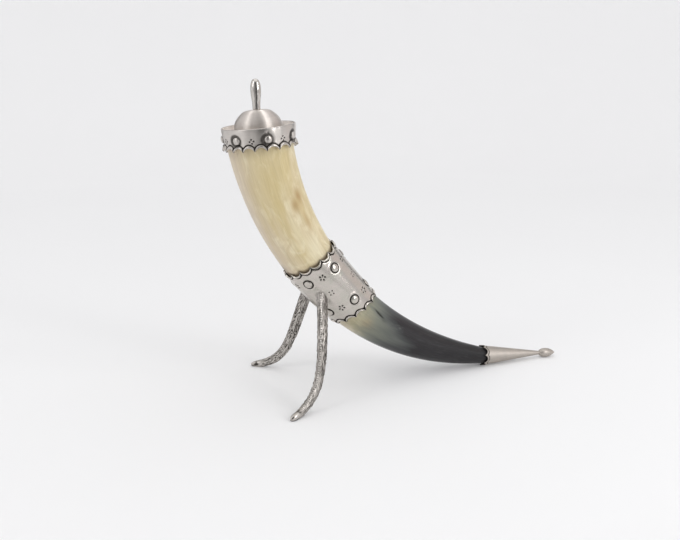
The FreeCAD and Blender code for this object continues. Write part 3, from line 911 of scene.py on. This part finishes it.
def mouth_ring():
    """Liner ring over the horn's cut edge."""
    inner, ledge, throat, skirt = 21.3, 26.7, 22.3, 5.0
    r = 0.25
    outline = [(inner + r, SHEET), (ledge - r, SHEET), (ledge, SHEET - r), (ledge, GLUE_GAP + 0.1),
               (ledge - r, GLUE_GAP), (throat, GLUE_GAP), (throat, -skirt + r),
               (throat - r, -skirt), (inner + r, -skirt), (inner, -skirt + r), (inner, SHEET - r)]
    place = axis_place(RIM_CENTRE - MOUTH_AXIS * MOUTH_DEPTH, MOUTH_AXIS)
    turned("mouth_liner", pewter("liner_pewter"), finer(outline, 6), 160, "mouth_ring", place,
           closed=True)


# ---- the lid ----

def lid_dome(material):
    """Spun lid: a flat flange, a neck, a coned shoulder and a crown, and the same from below."""
    r = 0.35
    neck, crown, hole = LID_NECK_RADIUS, LID_CROWN_RADIUS, LID_HOLE_RADIUS
    under_apex = LID_APEX - SHEET
    profile = [(LID_RADIUS - r, FLANGE_BOTTOM), (LID_RADIUS, FLANGE_BOTTOM + r),
               (LID_RADIUS, FLANGE_TOP - r), (LID_RADIUS - r, FLANGE_TOP)]
    profile += straight((LID_RADIUS - 1.0, FLANGE_TOP), (neck + 0.9, FLANGE_TOP), 10)
    profile += smooth_profile([(neck + 0.6, FLANGE_TOP), (neck + 0.05, FLANGE_TOP),
                               (neck, FLANGE_TOP + 0.7)], 6)
    profile += straight((neck, FLANGE_TOP + 1.0), (neck, LID_WALL_TOP), 6)[:-1]
    profile += smooth_profile([(neck, LID_WALL_TOP), (neck, LID_NECK_TOP), (15.4, 6.9),
                               (crown, LID_CROWN_TOP)], 24)
    profile += smooth_profile([(crown, LID_CROWN_TOP), (9.4, LID_APEX), (6.0, LID_APEX),
                               (hole, LID_APEX)], 22)[1:]
    profile += smooth_profile([(hole, under_apex), (6.0, under_apex), (8.4, under_apex),
                               (crown - 0.8, LID_CROWN_TOP - 0.8)], 14)
    profile += straight((neck - SHEET, LID_NECK_TOP - 0.8), (neck - SHEET, FLANGE_BOTTOM), 8)
    profile += straight((neck - 0.5, FLANGE_BOTTOM), (LID_RADIUS - 1.0, FLANGE_BOTTOM), 6)
    place = axis_place(RIM_CENTRE, MOUTH_AXIS)
    turned("lid_spun_dome", material, profile, 200, "lid_dome", place, closed=True, body="lid")


def lid_locating_ring(material):
    outer, height, r = 21.0, 6.0, 0.3
    inner = outer - SHEET
    outline = [(inner, 0.0), (outer, 0.0), (outer, -height + r), (outer - r, -height),
               (inner + r, -height), (inner, -height + r)]
    place = axis_place(RIM_CENTRE + MOUTH_AXIS * FLANGE_BOTTOM, MOUTH_AXIS)
    turned("lid_seat_ring", material, finer(outline, 5), 160, "lid_locating_ring", place,
           closed=True, body="lid")


def lid_knob():
    """Drop-shaped knob that stands a little straighter than the lid."""
    axis = np.array([-sin(KNOB_LEAN), 0.0, cos(KNOB_LEAN)])
    tip = (0.0, KNOB_HEIGHT)
    lower = [(3.0, 0.15), (2.95, 5.0), (3.5, 8.5)]
    upper = [(3.5, 8.5), (3.95, 11.7), (4.55, 17.0), (4.0, KNOB_HEIGHT), tip]
    profile = [(0.0, 0.0), (1.6, 0.0), (2.8, 0.0)] + smooth_profile(lower, 24)
    profile += smooth_profile(upper, 60)[1:-1] + [tip]
    place = axis_place(RIM_CENTRE + MOUTH_AXIS * (LID_APEX + 0.2), axis)
    turned("lid_drop_knob", pewter("polished_pewter"), profile, 72, "lid_knob", place,
           body="lid")


def lid():
    # Lighter pewter for the spun lid: its spun finish, and painted light.
    spun_painted_light = pewter("spun_pewter_painted_light")
    lid_dome(spun_painted_light)
    lid_locating_ring(spun_painted_light)
    lid_knob()


# ---- the legs ----

def leg_surface(s, turn):
    """Point on the smooth right leg at s and the angle turn, with its outward vector."""
    along = unit(bezier_slope(LEG_POLES, s))
    side = unit(LEG_SIDE - along * (along @ LEG_SIDE)[..., None])
    front = np.cross(along, side)
    thickness, depth = np.moveaxis(bezier(LEG_SECTIONS, s), -1, 0)
    closing = np.clip((s - TOE_ROUNDING) / (1.0 - TOE_ROUNDING), 0.0, 1.0)
    c, q = np.cos(turn), np.sin(turn)
    size = (np.abs(c) ** LEG_SQUARENESS + np.abs(q) ** LEG_SQUARENESS) ** (-1.0 / LEG_SQUARENESS)
    size = size * np.sqrt(1.0 - TOE_BLUNTNESS * closing ** 2) / 2.0
    point = bezier(LEG_POLES, s) + side * (size * thickness * c)[..., None]
    point = point + front * (size * depth * q)[..., None]
    return point, unit(side * (c / thickness)[..., None] + front * (q / depth)[..., None])


def nearest_line(points, before, after, count):
    """Nearest place on the horn's line round the band: the point there and the horn's radius."""
    u = np.linspace(BAND_START - before, BAND_END + after, count)
    line = horn_point(u)
    nearest = norm(points[..., None, :] - line, axis=-1).argmin(axis=-1)
    return line[nearest], horn_radius(u)[nearest]


def leg_root(turn):
    """For each side line of the leg, the s where it comes out of the band."""
    samples = np.linspace(0.0, 0.45, 220)
    points, _ = leg_surface(np.tile(samples[:, None], (1, len(turn))), turn)
    line, radius = nearest_line(points, 0.03, 0.05, 240)
    under = norm(points - line, axis=-1) < radius + GLUE_GAP + SHEET
    last = len(samples) - 1 - under[::-1].argmax(axis=0)
    return samples[np.where(under.any(axis=0), last, 0)]


def bark(s_mm, around):
    """Cast bark of the leg, facet by facet: height and darkness.

    The outer facet is finely grained, the front one has a row of beads, the inner and back
    ones have feathered strokes, and the lower leg is worn bright."""
    quarter = (around / 90.0) % 4.0
    facet = quarter % 1.0
    outer = (quarter < 1.0) * 1.0
    beaded = (quarter >= 1.0) * (quarter < 2.0) * 1.0
    feathered = 1.0 - outer - beaded
    middle = np.abs(facet - 0.5) * 2.0
    lines = noise(s_mm / 6.0, around / 6.0, 33, 60)
    speckle = noise(s_mm / 1.3, around / 7.5, 34, 48)
    grain = noise(s_mm / 2.6, around / 5.0, 37, 72)
    edge = bump(middle, 1.0, 0.10)

    wobble = noise(s_mm / 5.0, around / 15.0, 31, 24)
    feather = np.sin(FULL_TURN * (s_mm / BARK_STROKE - 2.4 * middle + 0.75 * wobble))
    strokes = rise(-0.55, 0.45, feather)
    broken = rise(-0.45, 0.15, noise(s_mm / 4.0, around / 10.0, 32, 36))
    groove = bump(middle, 0.80, 0.10)
    hollow = 0.85 * (1.0 - strokes) * (0.45 + 0.55 * broken)
    height = feathered * (0.40 * strokes * broken + 0.16 * lines - 0.25 * groove)
    dark = feathered * (hollow + 0.5 * groove + 0.55 * lines - 0.10)

    flute = bump(facet, 0.50, 0.05) + bump(facet, 0.16, 0.07)
    height += outer * (0.10 * grain + 0.10 * lines - 0.16 * flute)
    dark += outer * (0.36 + 0.45 * grain + 0.18 * lines + 0.30 * flute)

    beads = bump(facet, 0.20, 0.10) * (0.5 + 0.5 * np.cos(FULL_TURN * s_mm / BARK_BEAD)) ** 0.7
    gap = bump(facet, 0.40, 0.05) + 0.8 * bump(facet, 0.66, 0.04) + bump(facet, 0.88, 0.06)
    between = 0.35 * bump(facet, 0.20, 0.12) * (1.0 - beads)
    height += beaded * (0.30 * beads + 0.12 * grain - 0.18 * gap)
    dark += beaded * (0.18 + 0.45 * grain + 0.45 * gap + between - 0.8 * beads)
    height += 0.08 * edge + 0.08 * speckle
    dark += 0.25 * speckle - 0.22 * edge
    dark -= 0.16 * rise(BARK_WORN_FROM, BARK_WORN_TO, s_mm)
    return height, np.clip(dark, -0.5, 1.0)


def leg_rings():
    """Rings of the right leg down to its toe, their layers, and the leg's seat on the band."""
    rows, columns = LEG_GRID
    degrees = angles(columns) + 45.0
    turn = np.radians(angles(columns))
    root = leg_root(turn)
    v = 1.0 - (1.0 - steps(rows)[:, None]) ** 1.06
    s = root + (1.0 - root) * v
    points, outward = leg_surface(s, turn)
    knots = steps(400)
    spans = norm(np.diff(bezier(LEG_POLES, knots), axis=0), axis=-1)
    total = spans.sum()
    length = np.interp(s, knots, np.append(0.0, np.cumsum(spans)))
    height, dark = bark(length, degrees)
    toe = rise(total - TOE_LENGTH, total - TOE_LENGTH + 6.0, length)
    dents = noise(length / 4.5, degrees / 45.0, 36, 8)
    soot = noise(length / 4.0, degrees / 45.0, 35, 8)
    spotted = 0.65 * rise(0.10, 0.45, soot) - 0.35 * rise(0.05, -0.4, soot) + 0.06
    height = height * (1.0 - toe) + toe * 0.14 * dents
    dark = dark * (1.0 - toe) + toe * spotted
    height = height * rise(0.0, 0.03, v) - 0.20
    surface = points + outward * height[..., None]
    surface[..., 2] = np.maximum(surface[..., 2], 0.0)
    return surface, dark, [circle(degrees, 4.0, row) for row in length], points[0]


def leg_piece(name, node, mirror, material):
    """One leg, closed inside the band and at its toe; gives the right leg's seat."""
    surface, dark, develop, seat = leg_rings()
    centre = seat.mean(axis=0)
    inward = unit(horn_point(0.43) - centre)
    rings = [(centre + inward * 0.9)[None, :], *surface, surface[-1].mean(axis=0)[None, :]]
    layers = {"develop": [develop[0][:1], *develop, develop[-1][:1]],
              "patina_and_painted_light": [np.zeros(1), *dark, np.zeros(1)]}
    rings = [ring * mirror for ring in rings]
    new_mesh(name, material, rings, layers, node)
    return seat


def root_bead(name, seat, mirror, material):
    """Solder fillet that runs round the leg where it meets the band."""
    count = len(seat)
    ahead = unit(np.roll(seat, -1, axis=0) - np.roll(seat, 1, axis=0))
    outward = unit(seat - nearest_line(seat, 0.0, 0.03, 300)[0])
    sideways = unit(np.cross(ahead, outward))
    thick = 1.15 + 0.18 * noise(0.0, np.arange(count) / count * 24.0, 41, 24)
    rings, patina_and_painted_light = [], []
    for angle in np.arange(14) * FULL_TURN / 14.0:
        across = sideways * (thick * cos(angle))[:, None]
        rings.append(seat + across + outward * (0.7 * thick * sin(angle))[:, None])
        patina_and_painted_light.append(np.full(count, 0.2 if sin(angle) < 0.2 else 0.0))
    layers = {"develop": rings, "patina_and_painted_light": patina_and_painted_light}
    rings = [ring * mirror for ring in rings]
    new_mesh(name, material, rings, layers, None, closed=True)


def legs():
    antique = pewter("antique_pewter")
    solder = pewter("solder_pewter")
    for side, mirror in (("right", np.ones(3)), ("left", MIRROR)):
        seat = leg_piece(side + "_leg_cast", side + "_leg", mirror, antique)
        root_bead(side + "_leg_solder", seat, mirror, solder)


# ---- the tip ----

def tip_cap(material):
    """Cone with a scalloped rim, rolled and grooved along each arc, and its inner surface."""
    rows, columns = CAP_GRID
    degrees = angles(columns)
    whole = CAP_LENGTH + CAP_OVERHANG
    arc, pitch = scallops(degrees, *CAP_SCALLOPS, CAP_RIM_RADIUS)
    bite = arc_bite(arc, pitch, CAP_BITE)
    inward = bite + (whole - bite) * steps(rows)[:, None] ** 1.3
    z = inward - CAP_OVERHANG
    distance = beyond_arc(arc, inward, pitch, CAP_BITE)
    relief = 0.38 * bump(distance, 0.7, 0.55) - 0.22 * bump(distance, 2.1, 0.6)
    relief += 0.08 * noise(z / 14.0, degrees / 60.0, 51, 6)
    dark = 0.75 * bump(distance, 2.1, 0.45) + 0.9 * bump(distance, 0.0, 0.22)
    cone = CAP_RIM_RADIUS + (CAP_NECK_RADIUS - CAP_RIM_RADIUS) * inward / whole
    surface = circle(degrees, cone + relief, z)
    inner = []
    for deep in (38.0, 20.0, 10.0, 3.0, 0.0):
        share = deep / TIP_CORE_LENGTH
        radius = (HORN_END_RADIUS + 0.7) * (1.0 - share) + (TIP_CORE_END_RADIUS + 0.5) * share
        inner.append(circle(degrees, radius, np.maximum(z[0], deep) if deep else z[0]))
    rings = [np.array([[0.0, 0.0, TIP_CORE_LENGTH + 0.5]]), *inner, *surface,
             np.array([[0.0, 0.0, CAP_LENGTH]])]
    patina_and_painted_light = [np.zeros(1), *[np.full(columns, 0.8)] * len(inner), *np.clip(dark, 0.0, 1.0),
              np.zeros(1)]
    new_mesh("tip_cap_cone", material, rings, {"develop": rings, "patina_and_painted_light": patina_and_painted_light}, "tip_cap",
             place=axis_place(horn_point(1.0), CAP_AXIS))


def tip_bead(material):
    outline = [(CAP_NECK_RADIUS, 0.0), (BEAD_BELLY, BEAD_LENGTH * 0.15),
               (BEAD_BELLY, BEAD_LENGTH * 0.65), (0.0, BEAD_LENGTH)]
    profile = [(0.0, 0.0)] + smooth_profile(outline, 48)[:-1] + [(0.0, BEAD_LENGTH)]
    place = axis_place(horn_point(1.0) + CAP_AXIS * CAP_LENGTH, CAP_AXIS)
    turned("tip_bead_olive", material, profile, 72, "tip_bead", place)


def tip():
    plain = pewter("plain_pewter")
    tip_cap(plain)
    tip_bead(plain)


# ---- stage ----

def dull(name, low, high):
    """Dull cloth or paper, a little uneven: its material, shader, place and colour."""
    material, tree, shader = nodes_of(name)
    place = add(tree, "TexCoord", {}).outputs["Object"]
    colour = mix(noise_node(place, 3.0, 2.0), low, high)
    plug(shader, {"Base Color": colour, "Roughness": 0.9, "Specular IOR Level": 0.1})
    return material, shader, place, colour


def paper():
    """Pale paper that glows more towards its wall, with painted shade in front where the lamps
    shine: it is greyer there.
    """
    low, high, grey = (0.770, 0.768, 0.775), (0.785, 0.785, 0.790), (0.580, 0.578, 0.584)
    material, shader, place, colour = dull("paper", low, high)
    axes = add(shader.id_data, "SeparateXYZ", {0: place})
    # Painted shade: the paper is greyer in front, under the lamps, to tone down their light on the
    # floor.
    painted_shade_under_lamps = ramp(times(axes.outputs["Y"], -1.0), [(0.26, 0.0), (0.80, 1.0)])
    reach = add(shader.id_data, "VectorMath", {0: place}, operation="LENGTH")
    glow = ramp(times(reach.outputs["Value"], 0.5), [(0.10, FLOOR_GLOW), (0.65, WALL_GLOW)])
    plug(shader, {"Base Color": mix(painted_shade_under_lamps, colour, grey), "Emission Strength": glow,
                  "Emission Color": (1.0, 0.995, 1.0)})
    return material


def sweep():
    """Floor that curves up into a wall all round."""
    profile = straight((0.15, 0.0), (FLOOR_RADIUS, 0.0), 12)
    for angle in np.radians(np.linspace(8.0, 82.0, 12)):
        profile.append((FLOOR_RADIUS + SWEEP_BEND * sin(angle),
                        SWEEP_BEND * (1.0 - cos(angle))))
    profile += straight((1.92, SWEEP_BEND), (2.0, 1.9), 5)
    rings = [np.zeros((1, 3))]
    rings += [circle(angles(SWEEP_COLUMNS), radius, height) for radius, height in profile]
    faces = [face[::-1] for face in ring_faces(rings)]
    new_object("sweep", smooth_mesh("sweep", np.concatenate(rings), faces, paper()))


def aim(thing, place, target, axis):
    """Moves a thing to its place and turns the axis, +Z or -Z, to the target."""
    thing.location = place
    way = Vector(target) - Vector(place)
    thing.rotation_euler = way.to_track_quat(axis, "Y").to_euler()


def lamp(name, place, target, size, power):
    light = bpy.data.lights.new(name, "AREA")
    light.shape = "RECTANGLE"
    light.size, light.size_y = size
    light.energy = power
    source = new_object(name, light)
    source.visible_camera = False
    aim(source, place, target, "-Z")


def card(name, place, target, size, shade):
    """Card that only reflections see."""
    x, y = size[0] / 2.0, size[1] / 2.0
    mesh = bpy.data.meshes.new(name)
    mesh.from_pydata([(-x, -y, 0.0), (x, -y, 0.0), (x, y, 0.0), (-x, y, 0.0)], [], [(0, 1, 2, 3)])
    mesh.materials.append(dull(name + "_cloth", tuple(0.985 * c for c in shade), shade)[0])
    piece = new_object(name, mesh)
    piece.visible_camera = False
    piece.visible_diffuse = False
    piece.visible_shadow = False
    aim(piece, place, target, "Z")


def camera():
    lens = bpy.data.cameras.new("camera")
    lens.lens = CAMERA_LENS
    lens.sensor_width = SENSOR_WIDTH
    lens.clip_start = 0.01
    eye = new_object("camera", lens)
    level = cos(CAMERA_ELEVATION)
    away = Vector((sin(CAMERA_AZIMUTH) * level, -cos(CAMERA_AZIMUTH) * level,
                   sin(CAMERA_ELEVATION)))
    aim(eye, CAMERA_TARGET + away * CAMERA_DISTANCE, CAMERA_TARGET, "-Z")
    bpy.context.scene.camera = eye


def stage():
    sweep()
    world = bpy.data.worlds.new("studio")
    world.use_nodes = True
    background = world.node_tree.nodes["Background"]
    plug(background, {"Color": (1.0, 1.0, 1.0), "Strength": WORLD_STRENGTH})
    bpy.context.scene.world = world
    for name, lamp_values in LAMPS.items():
        lamp(name, *lamp_values)
    for name, (place, size, shade) in UPRIGHT_CARDS.items():
        card(name, place, (CAMERA_TARGET.x, 0.0, place[2]), size, shade)
    for name, (place, size, shade) in FLAT_CARDS.items():
        card(name, place, (place[0], place[1], 1.0), size, shade)
    camera()
    bpy.context.scene.view_settings.view_transform = "Standard"


horn()
rim_collar()
mouth_ring()
lid()
middle_band()
legs()
tip()
stage()
